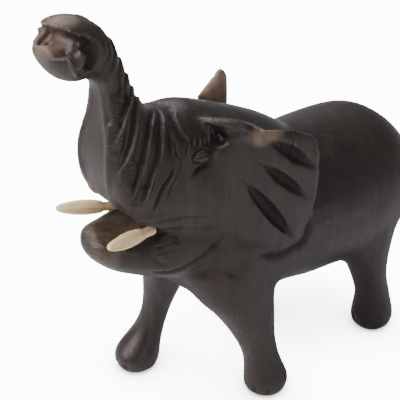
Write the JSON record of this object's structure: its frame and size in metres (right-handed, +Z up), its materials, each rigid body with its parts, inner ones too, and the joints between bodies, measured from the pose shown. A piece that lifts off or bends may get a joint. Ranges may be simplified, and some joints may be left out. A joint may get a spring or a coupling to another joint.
{
  "type": "carved wooden elephant figurine",
  "caption": "Carved dark hardwood elephant walking with raised trunk, swept-back ears and two small glued-in bone tusks; stands on its four feet.",
  "frame": {"origin": "on the floor, under the middle of the elephant's bounding box", "axes": "+Z up; the elephant faces -Y; +X is the elephant's own left side"},
  "size_m": [0.0782, 0.2133, 0.2075],
  "materials": {
    "dark_hardwood": "wax-polished near-black hardwood",
    "bone": "whittled dry bone, satin"
  },
  "bodies": {
    "root": {"wooden_body": "dark_hardwood", "left_tusk": "bone", "right_tusk": "bone"}
  },
  "joints": []
}
